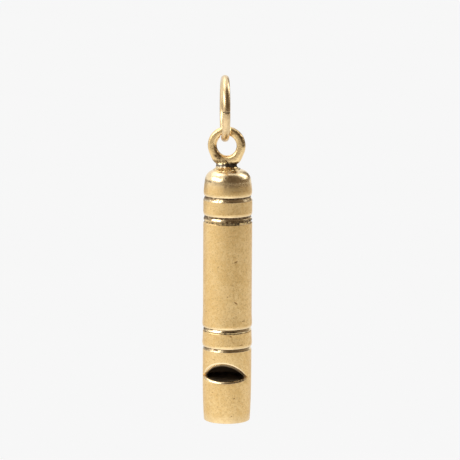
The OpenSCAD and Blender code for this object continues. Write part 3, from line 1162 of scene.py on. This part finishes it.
@dataclass
class Mouthpiece:
    """The lower length of pipe with its groove, window and mouth, in mm."""

    pipe: Pipe
    groove4_down: float = 2.80
    lip: float = 0.062
    ledge: float = 0.50
    flat: float = 0.10
    mouth_in: float = 0.19
    taper_len: float = 6.4
    taper_start: float = 5.5
    rim_r: float = 0.14
    web_t: float = 0.45
    window_z: float = -38.62
    window_angle: float = 69.0
    lip_slope: float = 45.9
    sill_slope: float = 11.9
    edge_w: float = 0.05
    sill_w: float = 0.30
    upper_w: float = 0.13

    @cached_property
    def groove_z(self) -> float:
        """Height that the groove above the window is set out from."""
        return self.pipe.levels.mouth_seam - self.groove4_down

    @cached_property
    def groove(self) -> Groove:
        """The groove above the window."""
        p, z = self.pipe, self.groove_z
        return Groove(p, z + self.ledge, self.flat, z + 0.03, p.r + self.lip, p.r)

    @cached_property
    def window_y(self) -> float:
        """Depth of the line where the window's two faces meet."""
        return -self.pipe.r * math.cos(math.radians(self.window_angle))

    def rises(self, depth: float) -> Point:
        """Heights of the window's upper face and sill over its corners, at a distance in front."""
        up = math.tan(math.radians(self.lip_slope)) * depth
        down = -math.tan(math.radians(self.sill_slope)) * depth
        return up, down

    def section(self) -> list[Point]:
        """The closed section of the wall, without the window."""
        p, seam, mouth = self.pipe, self.pipe.levels.mouth_seam, self.pipe.levels.mouth
        taper = (self.taper_len**2 + self.mouth_in**2) / (2 * self.mouth_in)

        def side(rise: float) -> Corner:
            """A corner on the tapered side at a height above the mouth."""
            left = self.taper_len - rise
            return Corner(p.r - taper + math.sqrt(taper**2 - left**2), mouth + rise, 3.0)

        return rounded(
            [
                Corner(p.spigot_r, seam),
                Corner(p.slot_r, seam),
                Corner(p.slot_r, seam - p.slot_half),
                Corner(p.r - 0.03, seam - p.slot_half, 0.01),
                Corner(p.r, seam - 0.16, 0.04),
                Corner(p.r, seam - 0.26),
                Corner(p.r, self.groove.ledge + 1.60, 9.0),
                *self.groove.corners(),
                *(side(rise) for rise in (self.taper_start, 4.0, 2.6, 1.3)),
                Corner(p.r - self.mouth_in + 0.005, mouth, self.rim_r),
                Corner(p.bore_r, mouth, 0.05),
                Corner(p.bore_r, seam - self.web_t),
                Corner(p.spigot_bore_r, seam - self.web_t),
                Corner(p.spigot_bore_r, seam + p.spigot_len),
                Corner(p.spigot_r, seam + p.spigot_len),
                Corner(p.spigot_r, seam),
            ]
        )

    def wedge(self) -> bpy.types.Object:
        """The wedge that cuts the window."""
        reach, half_w = 3.0, 8.0
        up, down = self.rises(reach)
        Bench.clear()
        bpy.ops.mesh.primitive_cube_add(size=1, location=(0, 0, 0))
        wedge = bpy.context.object
        for v in wedge.data.vertices:
            outer = v.co.y < 0
            level = (up if v.co.z > 0 else down) if outer else 0.0
            depth = self.window_y - (reach if outer else 0.0)
            v.co = Vector((math.copysign(half_w, v.co.x), depth, self.window_z + level)) * MM
        Bench.seal(wedge)
        return wedge

    def cut_window(self, obj: bpy.types.Object) -> None:
        """Cut the window out of the wall, and round its edges.

        Args:
            obj: The turned wall.
        """
        crease, corner = 14.0, 30.0
        Bench.cut(obj, self.wedge())
        Bench.seal(obj, 0.002)

        def middle(edge: bmesh.types.BMEdge) -> Vector:
            """Middle of an edge, in mm."""
            return (edge.verts[0].co + edge.verts[1].co) / 2 / MM

        def at_window(edge: bmesh.types.BMEdge) -> bool:
            """Whether an edge is one that the wedge left."""
            at = middle(edge)
            near = self.window_z - 1.5 < at.z < self.window_z + 3.0 and at.y < self.window_y + 0.03
            return near and sharp(edge, crease)

        def at_skin(edge: bmesh.types.BMEdge) -> bool:
            """Whether an edge is an outer one of the window, away from its corners."""
            at = middle(edge)
            outer = radius_at(at) > self.pipe.r - 0.2 and at.y < self.window_y - 0.35
            return outer and at_window(edge)

        def at_sill(edge: bmesh.types.BMEdge) -> bool:
            """Whether an edge is an outer one of the sill."""
            return middle(edge).z < self.window_z and at_skin(edge)

        def at_lip(edge: bmesh.types.BMEdge) -> bool:
            """Whether an edge is an outer one of the upper face."""
            return middle(edge).z > self.window_z and at_skin(edge)

        Bench.bevel(obj, self.sill_w, 7, at_sill, clamp=False)
        Bench.bevel(obj, self.upper_w, 4, at_lip, clamp=False)
        Bench.bevel(obj, self.edge_w, 3, lambda edge: at_window(edge) and sharp(edge, corner))
        for rise in (0.15, -0.12):
            self.split_skin(obj, self.window_z + rise)

    def split_skin(self, obj: bpy.types.Object, z: float) -> None:
        """Split the long faces of the skin at a height, so that a tip of the window stays local.

        Args:
            obj: The wall with its window.
            z: The height, in mm.
        """
        long = 0.4

        def crosses(face: bmesh.types.BMFace) -> bool:
            """Whether a face is a long one of the skin and crosses the height."""
            heights = [v.co.z / MM for v in face.verts]
            on_skin = all(radius_at(v.co) / MM > self.pipe.r - 0.05 for v in face.verts)
            return on_skin and min(heights) < z < max(heights) and max(heights) - min(heights) > long

        Bench.pick(obj, Kind.FACES, crosses)
        bpy.ops.mesh.bisect(plane_co=(0, 0, z * MM), plane_no=(0, 0, 1))
        Bench.close()

    def at_window(self, at: Vector) -> float:
        """1 on the faces that the window's cut left.

        Args:
            at: The place, in mm from the pipe's axis.

        Returns:
            1 or 0.
        """
        depth = self.window_y - at.y
        on_skin = radius_at(at) > self.pipe.r - 0.04
        if depth < (0.6 if on_skin else -0.05):
            return 0.0
        up, down = self.rises(depth)
        rise = at.z - self.window_z
        return float(abs(rise - up) < 0.10 or abs(rise - down) < 0.24)

    def window_shade(self, at: Vector) -> float:
        """Painted shade on the window's faces.

        Args:
            at: The place, in mm from the pipe's axis.

        Returns:
            The painted shade there.
        """
        r = radius_at(at)
        depth = self.window_y - at.y
        rise = at.z - self.window_z
        cut = self.at_window(at)
        upper = float(depth > 0 and abs(rise - self.rises(depth)[0]) < 0.03)
        sill = 0.40 * step_up(at.x, -0.6, 0.4) + 0.20 * step_up(at.x, 2.0, 2.5)
        sill += 0.48 * step_up(-at.x, 1.9, 2.4)
        # Painted shade on the inner part of the upper face, on the faces by the inner crease, and on the sill
        # at the right and at the far left.
        return max(
            0.62 * upper * step_down(r, self.pipe.r - 0.30, self.pipe.r - 0.10),
            0.50 * upper * step_down(depth, 0.35, 0.9) * step_down(r, self.pipe.r - 0.12, self.pipe.r),
            0.50 * cut * step_down(depth, 0.20, 0.55),
            float(rise < 0) * cut * sill,
        )

    def polish(self, at: Vector) -> float:
        """Where the mouthpiece is polished, with the paler painted sheen: the groove, the window's edges and
        the rim.
        """
        seam, mouth = self.pipe.levels.mouth_seam, self.pipe.levels.mouth
        rim = 0.5 * step_down(at.z, mouth, mouth + 0.5)
        return max(bump_at(at.z, seam, 0.22), self.groove.gloss(at), self.at_window(at), rim)

    def grime(self, at: Vector) -> float:
        """Dirt and painted shade: the dark seam with lumps of dirt, painted shadow and dirt in the groove, a
        darker patch in front, and painted shade on the window's faces.

        Args:
            at: The place, in mm from the pipe's axis.

        Returns:
            The dirt and painted shade there.
        """
        seam, groove = self.pipe.levels.mouth_seam, self.groove
        return max(
            0.75 * self.pipe.deep(at) * bump_at(at.z, seam - 0.05, 0.4),
            self.pipe.lumps(at) * bump_at(at.z, seam - 0.10, 0.18),
            groove.shadow_and_stain(at),
            groove.smear_and_shadow(at),
            # A darker patch in the groove in front, a little left of the middle.
            0.50 * bump_at(at.x, -0.35, 0.65) * band(at.z, self.groove_z, groove.ledge),
            self.window_shade(at),
        )

    def make(self, material: bpy.types.Material) -> None:
        """Turn, cut, dress and place the mouthpiece."""
        obj = Bench.turned("mouthpiece", self.section(), self.pipe.steps)
        self.cut_window(obj)
        Bench.smooth(obj, 35)
        masks = {Mask.POLISH: self.polish, Mask.GRIME: self.grime, Mask.INSIDE: self.pipe.inside}
        Bench.paint(obj, masks)
        self.pipe.place(obj, "mouthpiece", Slot.BODY_GOLD, material)


@dataclass
class WindwayBlock:
    """The block that leaves a flat windway inside the mouth, in mm."""

    pipe: Pipe
    windway: float = 0.6
    fit: float = 0.006
    edge_w: float = 0.12

    def make(self, material: bpy.types.Material) -> None:
        """Shape the block from a round bar with a flat along it."""
        low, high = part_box("windway_block")
        Bench.clear()
        bpy.ops.mesh.primitive_cylinder_add(
            vertices=160,
            radius=(self.pipe.bore_r - self.fit) * MM,
            depth=high.z - low.z,
            location=(0, 0, (low.z + high.z) / 2),
        )
        obj = bpy.context.object
        Bench.settle(obj)
        Bench.open(obj, select=True)
        flat = -(self.pipe.bore_r - self.windway) * MM
        bpy.ops.mesh.bisect(plane_co=(0, flat, 0), plane_no=(0, -1, 0), use_fill=True, clear_outer=True)
        Bench.close()
        Bench.seal(obj)
        Bench.bevel(obj, self.edge_w, 3, lambda edge: sharp(edge, 30))
        Bench.seal(obj, 0.002)
        Bench.smooth(obj, 30)
        self.pipe.place(obj, "windway_block", Slot.DULL_GOLD, material)


# The eye and the ring


@dataclass
class SuspensionEye:
    """The thick round eye, flattened on both faces and worn thin under the ring, in mm."""

    major_r: float = 2.085
    wire_r: float = 0.645
    flat_half: float = 0.58
    flat_soft: float = 0.10
    neck_r: float = 0.558
    neck_half: float = 0.6
    neck_blend: float = 0.16
    side: float = 0.27
    ring_turn: float = 14.0
    pivot_z: float = -3.22
    flare: float = 0.30

    @property
    def centre_z(self) -> float:
        """Height of the eye's centre."""
        return self.pivot_z - self.major_r

    def flatten(self, at: Vector) -> Vector:
        """Press the two faces flat, with a soft edge."""
        low = self.flat_half - self.flat_soft
        over = abs(at.y) - low
        if over > 0:
            at.y = math.copysign(low + self.flat_soft * math.tanh(over / self.flat_soft), at.y)
        return at

    def spread(self, at: Vector) -> Vector:
        """Spread the lower flanks outwards, where the eye runs into its solder."""
        x, z = at.x - self.side, at.z - self.centre_z
        out = math.hypot(x, z)
        below = math.degrees(math.asin(max(-1.0, min(1.0, -z / out))))
        grow = self.flare * step_up(below, 26, 58) * step_up(out, self.major_r, self.major_r + self.wire_r)
        return at + Vector((x, 0, z)) / out * grow

    def wear(self, at: Vector) -> Vector:
        """Wear the top of the eye to a round neck along the ring's own axis.

        Args:
            at: A point of the eye, in mm.

        Returns:
            Where the wear leaves it.
        """
        turn = math.radians(self.ring_turn)
        along = Vector((math.cos(turn), math.sin(turn), 0))
        pivot = Vector((0, 0, self.pivot_z))
        out = at - pivot
        s = out.dot(along)
        if at.z < self.centre_z or abs(s) > self.neck_half + self.neck_blend:
            return at
        out -= along * s
        share = 1 - step_up(abs(s), self.neck_half, self.neck_half + self.neck_blend)
        if out.length > self.neck_r:
            out *= 1 + share * (self.neck_r / out.length - 1)
        return pivot + along * s + out

    def grime(self, at: Vector) -> float:
        """Painted shade: on the hole's wall at the left, on the left and lower left, on the right flank and
        at the foot by the solder.

        Args:
            at: The place, in mm.

        Returns:
            The painted shade there.
        """
        x, z = at.x - self.side, at.z - self.centre_z
        out, ring = math.hypot(x, z), self.major_r
        # All of these are painted shade, where the eye turns from the light, reflects the dark side or meets
        # its solder.
        inner = step_up(-x, 0.2, 1.2) * step_down(out, ring - 0.55, ring - 0.2)
        left = step_up(-x, 0.1, 1.0) * step_up(-z, -1.2, 0.6) * step_down(out, ring - 0.4, ring + 0.2)
        foot = max(step_up(-z, 1.5, 2.3) * (1 - 0.8 * step_up(x, 0.1, 0.6)), step_up(-z, 1.95, 2.45))
        right = step_up(x, 0.2, 0.9) * step_up(z, -0.6, 0.2) * step_up(out, ring - 0.1, ring + 0.3)
        low = step_up(-x, 0.3, 0.9) * step_up(-z, 0.9, 1.4) * step_down(out, ring, ring + 0.5)
        return max(0.30 * inner, 0.55 * left, 0.60 * foot, 0.50 * right, 0.62 * low)

    def make(self, material: bpy.types.Material) -> None:
        """Shape the eye from a round ring of wire."""
        Bench.clear()
        bpy.ops.mesh.primitive_torus_add(
            major_segments=200,
            minor_segments=56,
            major_radius=self.major_r * MM,
            minor_radius=self.wire_r * MM,
            location=(self.side * MM, 0, self.centre_z * MM),
            rotation=(math.pi / 2, 0, 0),
        )
        obj = bpy.context.object
        Bench.settle(obj)
        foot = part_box("suspension_eye")[0].z
        for v in obj.data.vertices:
            v.co = self.wear(self.spread(self.flatten(v.co / MM))) * MM
            v.co.z = max(v.co.z, foot)
        Bench.smooth(obj, 60)
        masks = {Mask.POLISH: lambda at: 0.75, Mask.GRIME: self.grime, Mask.INSIDE: lambda at: 0.0}
        Bench.paint(obj, masks)
        finish_piece(obj, "suspension_eye", Body.WHISTLE, material)


@dataclass
class EyeSolder:
    """The lumpy solder that joins the eye to the cap, in mm.

    Attributes:
        cap: The cap that it lies on.
        side: Distance of its middle to the right of the origin.
        drape_to: Height up to which it follows the dome.
        steps: Faces round it.
        rings: Half length, half width and height above the dome of each ring, from the skirt up.
        waves: Depth, lobes, phase and twist per mm of the waves of its outline.
    """

    cap: EndCap
    side: float = 0.27
    drape_to: float = 0.34
    steps: int = 150
    rings: tuple[tuple[float, float, float], ...] = (
        (2.02, 2.20, -0.08),
        (1.96, 2.14, 0.01),
        (1.88, 2.00, 0.045),
        (1.78, 1.80, 0.065),
        (1.68, 1.50, 0.085),
        (1.59, 1.24, 0.13),
        (1.53, 1.06, 0.20),
        (1.50, 0.94, 0.29),
        (1.49, 0.86, 0.38),
        (1.50, 0.80, 0.47),
        (1.52, 0.75, 0.56),
        (1.48, 0.70, 0.65),
        (1.36, 0.65, 0.74),
        (1.16, 0.58, 0.83),
        (0.90, 0.48, 0.90),
    )
    waves: tuple[tuple[float, int, float, float], ...] = (
        (0.05, 3, 1.1, 0.0),
        (0.040, 7, 2.4, 2.0),
        (0.022, 13, 0.0, 5.0),
    )

    @property
    def top(self) -> float:
        """Height of the dome's top."""
        return self.cap.pipe.levels.top

    def settle(self, at: Vector) -> Vector:
        """Lay a point on the dome and move it as the solder ran unevenly.

        Args:
            at: A point of the stack of rings, in mm.

        Returns:
            Its place on the dome.
        """
        rise = at.z - self.top
        a = math.atan2(at.y, at.x)
        wave = 0.0
        for depth, lobes, phase, twist in self.waves:
            wave += depth * math.sin(lobes * a + phase + twist * at.z)
        wave *= 1 - 0.7 * abs(math.cos(a)) ** 2 - 0.3 * step_up(rise, 0.6, 0.8)
        at = Vector((at.x * (1 + wave) + self.side, at.y * (1 + wave), at.z))
        fall = self.cap.dome_height(math.hypot(at.x - self.cap.pipe.side, at.y)) - self.top
        at.z += fall * (1 - step_up(rise, 0.08, self.drape_to))
        if 0.005 < rise < 0.3:
            at.z += 0.035 * math.sin(9 * at.x + 2.0) * math.sin(8 * at.y + 0.5)
        return at

    def pale(self, at: Vector) -> float:
        """Bare silvery solder: a few flecks in front, left of the middle."""
        across = step_up(at.x, -1.2, -0.9) * step_down(at.x, 0.25, 0.42)
        return across * bump_at(at.z, self.top + 0.28, 0.36)

    def dark(self, at: Vector) -> float:
        """Darker solder: the right half of the foot, and a little all round it."""
        right = 0.80 * step_up(at.x, 0.2, 0.6) * bump_at(at.z, self.top + 0.38, 0.50)
        upper = 0.30 * step_up(at.z, self.top + 0.14, self.top + 0.30)
        return max(right, upper, 0.04)

    def make(self, material: bpy.types.Material) -> None:
        """Build the solder up from its skirt, ring by ring."""
        Bench.clear()
        bpy.ops.mesh.primitive_circle_add(vertices=self.steps, radius=MM, location=(0, 0, 0))
        obj = bpy.context.object
        Bench.open(obj, select=True)
        bpy.ops.mesh.edge_face_add()
        a, b, h = self.rings[0]
        bpy.ops.transform.resize(value=(a, b, 1))
        bpy.ops.transform.translate(value=(0, 0, (self.top + h) * MM))
        for (a0, b0, h0), (a1, b1, h1) in zip(self.rings, self.rings[1:]):
            bpy.ops.mesh.extrude_region_move(TRANSFORM_OT_translate={"value": (0, 0, (h1 - h0) * MM)})
            centre = (0, 0, (self.top + h1) * MM)
            bpy.ops.transform.resize(value=(a1 / a0, b1 / b0, 1), center_override=centre)
        Bench.close()
        Bench.seal(obj)
        for v in obj.data.vertices:
            v.co = self.settle(v.co / MM) * MM
        Bench.smooth(obj, 70)
        Bench.paint(obj, {Mask.POLISH: self.pale, Mask.GRIME: self.dark})
        finish_piece(obj, "eye_solder", Body.WHISTLE, material)


@dataclass
class JumpRing:
    """The loose ring of wire, with its two ends butted and soldered in front, in mm."""

    major_r: float = 4.29
    wire_r: float = 0.46
    wire_half_w: float = 0.55
    turn: float = 14.0
    joint_t: float = 0.12
    film_in: float = 0.03
    end_edge: float = 0.05
    steps: int = 240

    def bent(self, name: str, start: float, sweep: float, thin: float, steps: int) -> bpy.types.Object:
        """Bend a length of wire round the loop.

        Args:
            name: Name of the piece.
            start: Where it starts, in degrees below the front.
            sweep: Angle that it covers, in degrees.
            thin: Distance that its skin stands back from the wire's, in mm.
            steps: Faces along it.

        Returns:
            The closed length of wire, at the ring's turn.
        """
        wire_r = self.wire_r - thin
        place = (0, -self.major_r * MM, 0)
        Bench.clear()
        bpy.ops.mesh.primitive_circle_add(vertices=48, radius=wire_r * MM, fill_type="NGON", location=place)
        obj = bpy.context.object
        obj.name = name
        obj.scale = ((self.wire_half_w - thin) / wire_r, 1, 1)
        Bench.settle(obj)
        obj.rotation_euler.x = math.radians(start)
        Bench.settle(obj)
        Bench.open(obj, select=True)
        bpy.ops.mesh.spin(steps=steps, angle=math.radians(-sweep), center=(0, 0, 0), axis=(1, 0, 0))
        Bench.close()
        Bench.seal(obj)
        obj.rotation_euler.z = math.radians(self.turn)
        Bench.settle(obj)
        return obj

    def grime(self, at: Vector) -> float:
        """Dirt at the joint."""
        turn = math.radians(self.turn)
        joint = Vector((math.sin(turn), -math.cos(turn), 0)) * self.major_r
        return 0.5 * bump_at((at - joint + Vector((0.25, 0, 0))).length, 0.0, 0.5)

    def make(self, gold: bpy.types.Material, solder: bpy.types.Material) -> None:
        """Bend the ring and the film of solder in its joint.

        Args:
            gold: Finish of the wire.
            solder: Finish of the film.
        """
        half = math.degrees(self.joint_t / 2 / self.major_r)
        ring = self.bent("jump_ring", half, 360 - 2 * half, 0.0, self.steps)
        Bench.bevel(ring, self.end_edge, 3, lambda edge: sharp(edge, 60))
        Bench.smooth(ring, 50)
        masks = {
            Mask.POLISH: lambda at: 0.35 + 0.55 * step_up(at.z, 1.3, 2.6),
            Mask.GRIME: self.grime,
            Mask.INSIDE: lambda at: 0.0,
        }
        Bench.paint(ring, masks)
        finish_piece(ring, "jump_ring", Body.RING, gold)
        film = self.bent("jump_ring_solder", -half, 2 * half, self.film_in, 3)
        Bench.smooth(film, 50)
        Bench.paint(film, {Mask.POLISH: lambda at: 0.3, Mask.GRIME: lambda at: 0.4})
        finish_piece(film, "jump_ring_solder", Body.RING, solder)


# The studio


@dataclass(frozen=True)
class Softbox:
    """A flat white light aimed at the pendant.

    Attributes:
        name: Its name.
        azimuth: Direction that it stands in from the camera's, towards the right, in degrees.
        elevation: Height of that direction above the horizon, in degrees.
        distance: Distance from the pendant, in m.
        width: Width, in m.
        height: Height, in m.
        power: Power, in W.
    """

    name: str
    azimuth: float
    elevation: float
    distance: float
    width: float
    height: float
    power: float


@dataclass(frozen=True)
class Card:
    """A card bent round the pendant, for the metal to reflect.

    Attributes:
        name: Its name.
        start: Azimuth of its left edge from the camera's, towards the right, in degrees.
        sweep: Angle that it covers, in degrees.
        profile: Distance from the pipe's axis and height of its bends, from its lower edge, in m.
        shade: Linear colour at its left edge.
        shade_end: Linear colour at its right edge.
    """

    name: str
    start: float
    sweep: float
    profile: tuple[Point, ...]
    shade: Colour
    shade_end: Colour


CARD_PROFILE = ((0.140, -0.029), (0.120, 0.030), (0.080, 0.085), (0.020, 0.120))
LEFT_PROFILE = ((0.150, -0.036), (0.150, -0.004))
BROWN = (0.18, 0.140, 0.102)
LIGHT_BROWN = (0.25, 0.200, 0.150)


def grey(level: float) -> tuple[float, float, float, float]:
    """A neutral colour for a socket."""
    return (level, level, level, 1.0)


@dataclass
class Studio:
    """Floor, world, lights, cards and camera. Places are in metres and turns in degrees."""

    aim: Vector = field(default_factory=lambda: Vector((0.000785, 0.000153, -0.01753)))
    camera_azimuth: float = 11.0
    camera_elevation: float = 9.7
    camera_distance: float = 0.45
    camera_roll: float = 0.3
    lens: float = 246.1
    sensor: float = 36.0
    floor_z: float = -0.42
    floor_size: float = 16.0
    backdrop: float = 0.93
    floor_glow: float = 0.985
    glow_share: float = 0.85
    ambient: float = 0.75
    softboxes: tuple[Softbox, ...] = (
        Softbox("key_light", -66, 29, 0.50, 0.46, 0.17, 0.92),
        Softbox("high_light", -100, 66, 0.50, 0.14, 0.14, 0.14),
        Softbox("rear_light", -138, 54, 0.50, 0.44, 0.28, 0.36),
        Softbox("side_light", 118, 37, 0.50, 0.14, 0.28, 0.27),
        Softbox("low_light", -30, -55, 0.40, 0.80, 0.50, 0.40),
        Softbox("left_light", -112, -12, 0.50, 0.36, 0.60, 0.05),
    )
    cards: tuple[Card, ...] = (
        Card("left_card", -160, 42, LEFT_PROFILE, (0.62, 0.59, 0.55), (0.66, 0.63, 0.59)),
        Card("fade_card", -76, 48, ((0.140, -0.029), (0.136, 0.016)), (0.90, 0.88, 0.86), (0.50, 0.44, 0.37)),
        Card("turn_card", -28, 38, CARD_PROFILE, (0.42, 0.36, 0.29), BROWN),
        Card("dark_card", 10, 80, CARD_PROFILE, BROWN, LIGHT_BROWN),
        Card("edge_card", 90, 44, ((0.140, -0.029), (0.135, 0.034)), LIGHT_BROWN, (0.44, 0.39, 0.33)),
        Card("rear_card", 134, 30, ((0.150, -0.008), (0.150, 0.100)), (0.20, 0.17, 0.14), (0.30, 0.26, 0.22)),
    )

    def stand(self, obj: bpy.types.Object, azimuth: float, elevation: float, distance: float) -> None:
        """Link an object to the scene, off in a direction and turned to face the pendant.

        Args:
            obj: The object.
            azimuth: Direction towards the right of the camera's, in degrees.
            elevation: Direction above the horizon, in degrees.
            distance: Distance from the pendant, in m.
        """
        a = math.radians(self.camera_azimuth + azimuth)
        e = math.radians(elevation)
        towards = Vector((math.sin(a) * math.cos(e), -math.cos(a) * math.cos(e), math.sin(e)))
        bpy.context.scene.collection.objects.link(obj)
        obj.location = self.aim + towards * distance
        obj.rotation_euler = towards.to_track_quat("Z", "Y").to_euler()

    def make_camera(self) -> None:
        """Stand the camera where the photograph was taken from."""
        data = bpy.data.cameras.new("camera")
        data.lens = self.lens
        data.sensor_width = self.sensor
        data.clip_start = 0.01
        data.clip_end = 40.0
        camera = bpy.data.objects.new("camera", data)
        self.stand(camera, 0, self.camera_elevation, self.camera_distance)
        roll = Matrix.Rotation(math.radians(self.camera_roll), 3, "Z")
        camera.rotation_euler = (camera.rotation_euler.to_matrix() @ roll).to_euler()
        bpy.context.scene.camera = camera
        log.info("camera at %s", [round(c, 4) for c in camera.location])

    def seen_directly(self, nodes: Nodes) -> bpy.types.NodeSocket:
        """1 for rays of the camera and for those that metal or glass reflects."""
        rays = nodes.add("ShaderNodeLightPath").outputs
        direct = nodes.calc("MAXIMUM", rays["Is Camera Ray"], rays["Is Glossy Ray"])
        return nodes.calc("MAXIMUM", direct, rays["Is Transmission Ray"])

    def make_world(self) -> None:
        """Light the studio evenly from all round."""
        nodes = Nodes(bpy.data.worlds.new("studio"), "ShaderNodeOutputWorld")
        level = nodes.add("ShaderNodeMapRange")
        nodes.feed(level, {0: self.seen_directly(nodes), 3: self.ambient, 4: 1.0})
        shade = nodes.add("ShaderNodeBackground")
        nodes.feed(shade, {"Color": grey(self.backdrop), "Strength": level.outputs[0]})
        bpy.context.scene.world = nodes.end(shade)

    def make_floor(self) -> None:
        """Lay a plain pale floor far below the hanging pendant."""
        Bench.clear()
        bpy.ops.mesh.primitive_plane_add(size=self.floor_size, location=(0, 0, self.floor_z))
        floor = bpy.context.object
        floor.name = "floor"
        nodes = Nodes.of("pale_floor")
        tone = nodes.window(nodes.noise(6, 3), 0.3, 0.7)
        matt = nodes.add("ShaderNodeBsdfDiffuse")
        nodes.feed(matt, {"Color": nodes.blend(tone, (0.90, 0.90, 0.90), (0.88, 0.88, 0.88))})
        lit = nodes.add("ShaderNodeEmission")
        nodes.feed(lit, {"Color": grey(self.floor_glow), "Strength": 1.0})
        share = nodes.times(self.seen_directly(nodes), self.glow_share)
        both = nodes.add("ShaderNodeMixShader")
        nodes.feed(both, {0: share, 1: matt.outputs[0], 2: lit.outputs[0]})
        floor.data.materials.append(nodes.end(both))

    def make_card(self, card: Card) -> None:
        """Bend a card round the pendant where the camera doesn't see it."""
        obj = Bench.spun(card.name, [(r / MM, z / MM) for r, z in card.profile], 24, card.sweep)
        middle = sum((v.co for v in obj.data.vertices), Vector()) / len(obj.data.vertices)
        towards = math.radians(self.camera_azimuth + card.start + card.sweep / 2 - 90)
        obj.rotation_euler.z = towards - math.atan2(middle.y, middle.x)
        obj.location.x = self.aim.x
        obj.visible_camera = False
        nodes = Nodes.of(card.name)
        split = nodes.feed(nodes.add("ShaderNodeSeparateXYZ"), {0: nodes.place}).outputs
        left = min(math.atan2(v.co.y, v.co.x) for v in obj.data.vertices)
        across = nodes.calc("ARCTAN2", split[1], split[0])
        share = nodes.window(across, left, left + math.radians(card.sweep))
        matt = nodes.add("ShaderNodeBsdfDiffuse")
        nodes.feed(matt, {"Color": nodes.blend(share, card.shade, card.shade_end)})
        obj.data.materials.append(nodes.end(matt))

    def make_softbox(self, box: Softbox) -> None:
        """Hang a soft light."""
        data = bpy.data.lights.new(box.name, "AREA")
        data.shape = "RECTANGLE"
        data.size = box.width
        data.size_y = box.height
        data.energy = box.power
        self.stand(bpy.data.objects.new(box.name, data), box.azimuth, box.elevation, box.distance)

    def make(self) -> None:
        """Build the whole studio."""
        self.make_camera()
        self.make_world()
        self.make_floor()
        for box in self.softboxes:
            self.make_softbox(box)
        for card in self.cards:
            self.make_card(card)
        bpy.context.scene.view_settings.view_transform = "Standard"


def dress_seams(nodes: dict[str, bpy.types.Object], material: bpy.types.Material) -> None:
    """Give the two seams' solder its finish, on the CAD nodes themselves."""
    for name in ("cap_seam_solder", "mouth_seam_solder"):
        nodes[name].data.materials.clear()
        nodes[name].data.materials.append(material)
        log.info("%s: finish %s", name, material.name)


def main() -> None:
    """Build the pendant's looks, the studio and the camera."""
    logging.basicConfig(level=logging.INFO, format="%(message)s")
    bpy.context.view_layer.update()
    cap_gold = WornGold("cap_gold", nicks=CAP_NICKS)
    barrel_gold = WornGold("barrel_gold", nicks=BARREL_NICKS)
    mouth_gold = WornGold("mouth_gold", nicks=MOUTH_NICKS)
    ring_gold = WornGold(
        "ring_gold",
        light=(0.84, 0.635, 0.36),
        deep=(0.72, 0.52, 0.27),
        polished_sheen=(0.83, 0.63, 0.36),
        bright=0.22,
        grain=0.002,
        ripple=0.006,
        scratch=0.0015,
    )
    eye_gold = WornGold("eye_gold", polished_sheen=(0.93, 0.70, 0.37), bright=0.24, grain=0.006, ripple=0.055)
    seam_solder = Solder("seam_solder", dark=0.66, lumps=0.01).make()
    pipe = Pipe(Levels.read())
    cap = EndCap(pipe)
    cap.make(cap_gold.make())
    BarrelTube(pipe).make(barrel_gold.make())
    Mouthpiece(pipe).make(mouth_gold.make())
    WindwayBlock(pipe).make(DullMetal("dull_gold").make())
    SuspensionEye().make(eye_gold.make())
    EyeSolder(cap).make(Solder("foot_solder").make())
    JumpRing().make(ring_gold.make(), seam_solder)
    dress_seams(frame["nodes"], seam_solder)
    Studio().make()


if __name__ == "__main__":
    main()
